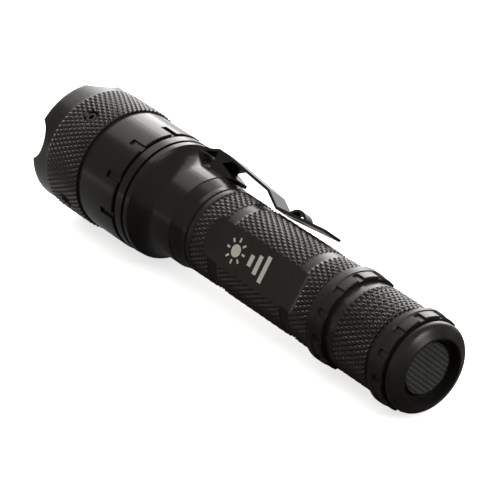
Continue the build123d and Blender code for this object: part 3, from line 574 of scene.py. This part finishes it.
r = np.where(near_hole & (snapped <= mouth_r), np.minimum(r, bezel_r - (mouth_r - snapped)), r)
r = np.where(near_hole & (snapped < pocket_r - slack), pocket_floor, r)
r = np.where(near_hole & (snapped < hole_r - slack), hole_floor, r)
bezel = turned_mesh("strike_bezel_ring", x, r, angle, "head_group", knurled_anodise,
                    crest=np.where(banded & ~near_hole, tooth ** 3, 0))
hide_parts("strike_bezel")

# Alloy steel screws, near black: partly a black oxide finish and partly painted shade that makes the bezel's
# set screw holes read deep. Dark, oily and smooth, with a bright glint on the socket's rim.
black_oxide_and_shade = finish("black_oxide_steel_and_painted_shade", "#232322", "#333231", 0.8, (0.14, 0.24), 0.15, 0.002)
dress(black_oxide_and_shade, "bezel_set_screws")

# ---- Pocket clip
# A sprung steel strip on an anodised saddle, held by two countersunk screws. The strip is stamped,
# bent and coated black.

# Black-coated spring steel: near black and glossy, with a fine rolled grain.
clip_coating = finish("black_coated_spring_steel", "#161615", "#201f1e", 0.2, (0.1, 0.17), 0.2, 0.0006,
                      (1, 4, 4))
dress(clip_coating, "clip_base", "clip_arm")
dress(black_oxide_and_shade, "clip_screws")
dress(head_anodise, "clip_saddle")

# ---- Floor, lights and camera
# A white table under a large white backdrop behind the light, with a softbox overhead. The floor
# follows the object's two lowest rings, so both touch it.
tail_low, tail_low_x = -13.7, 8.05
head_low, head_low_x = -18.2, 130.65
slope = (head_low - tail_low) / (head_low_x - tail_low_x)
floor_half = 1600.0
toward_back = (0.787, -0.617, 0)
glow_from, glow_full = 0.06, 0.2
far_glow = 1.1
seen_glow = 0.7

floor_mesh = bpy.data.meshes.new("floor")
corners = np.array([(-1, -1), (1, -1), (1, 1), (-1, 1)]) * floor_half
floor_mesh.from_pydata(np.column_stack([corners, tail_low + (corners[:, 0] - tail_low_x) * slope]) * mm,
                       [], [(0, 1, 2, 3)])
floor = bpy.data.objects.new("floor", floor_mesh)
bpy.context.scene.collection.objects.link(floor)

# White translucent acrylic over a light table: plain, pale and matt. It looks evenly lit when it is
# seen directly, and only its far half lights the object.
table_top = bpy.data.materials.new("white_lit_acrylic")
table_top.use_nodes = True
tree = table_top.node_tree
tree.nodes.clear()
ray = add(tree, "ShaderNodeLightPath").outputs["Is Camera Ray"]
place = add(tree, "ShaderNodeTexCoord").outputs["Object"]
behind = add(tree, "ShaderNodeVectorMath", {"operation": "DOT_PRODUCT", 1: toward_back}, {0: place})
far_half = add(tree, "ShaderNodeMapRange", {"interpolation_type": "SMOOTHSTEP", "From Min": glow_from,
               "From Max": glow_full, "To Max": far_glow}, {"Value": behind.outputs["Value"]}).outputs[0]
level = add(tree, "ShaderNodeMix", {"data_type": "FLOAT", 3: seen_glow}, {0: ray, 2: far_half}).outputs[0]
tone = add(tree, "ShaderNodeMix", {"data_type": "RGBA", 6: linear("#5a5a58"), 7: linear("#fdfdfc")}, {0: ray})
matt = add(tree, "ShaderNodeBsdfDiffuse", links={"Color": tone.outputs[2]})
glow = add(tree, "ShaderNodeEmission", links={"Strength": level})
both = add(tree, "ShaderNodeAddShader", links={0: matt.outputs[0], 1: glow.outputs[0]})
add(tree, "ShaderNodeOutputMaterial", links={"Surface": both.outputs[0]})
floor_mesh.materials.append(table_top)


def softbox(name, place, aim, width, height, power):
    """A rectangular area light at a place, in metres, turned to face its aim."""
    lamp = bpy.data.lights.new(name, "AREA")
    lamp.shape, lamp.size, lamp.size_y, lamp.energy = "RECTANGLE", width, height, power
    box = bpy.data.objects.new(name, lamp)
    box.location = place
    back = (np.array(place) - aim) / np.linalg.norm(np.array(place) - aim)
    side = np.cross((0, 0, 1), back)
    side = side / np.linalg.norm(side)
    turned = np.column_stack([side, np.cross(back, side), back])
    box.matrix_world = Matrix([[*row, p] for row, p in zip(turned, place)] + [[0, 0, 0, 1]])
    bpy.context.scene.collection.objects.link(box)
    return box


# The overhead box fills softly and is kept out of reflections, so the top stays dark.
aim = np.array((0.075, 0, 0))
softbox("backdrop_panel", (1.02, -0.80, 0.36), aim, 2.4, 0.74, 28.0)
softbox("upper_backdrop", (0.80, -0.62, 0.98), aim, 2.0, 0.6, 4.5)
overhead = softbox("overhead_softbox", (-0.1, 0.25, 1.25), aim, 1.1, 1.1, 8.0)
overhead.visible_glossy = False
softbox("tail_fill", (-1.1, -0.35, 0.7), aim, 0.5, 0.5, 6.0)

wall_colour = "#dedbcf"
wall_strength = 0.42
world = bpy.data.worlds.new("studio_walls")
bpy.context.scene.world = world
world.use_nodes = True
walls = world.node_tree.nodes["Background"]
walls.inputs["Color"].default_value = linear(wall_colour)
walls.inputs["Strength"].default_value = wall_strength

# A long lens looks down at the tail from the left. The three directions are the frame's right, down
# and forward, and the eye is in metres.
right = (-0.61053416, -0.79187427, 0.01353429)
down = (-0.40676142, 0.29885811, -0.86326646)
forward = (0.67955366, -0.53255889, -0.50456699)
eye = (-0.514981, 0.462517, 0.438411)
focal_length = 234.47
sensor_width = 36.0
lens_data = bpy.data.cameras.new("camera")
lens_data.lens = focal_length
lens_data.sensor_width = sensor_width
camera = bpy.data.objects.new("camera", lens_data)
bpy.context.scene.collection.objects.link(camera)
camera.matrix_world = Matrix([[a, -b, -c, p] for a, b, c, p in zip(right, down, forward, eye)]
                             + [[0, 0, 0, 1]])
bpy.context.scene.camera = camera
bpy.context.scene.view_settings.view_transform = "Standard"
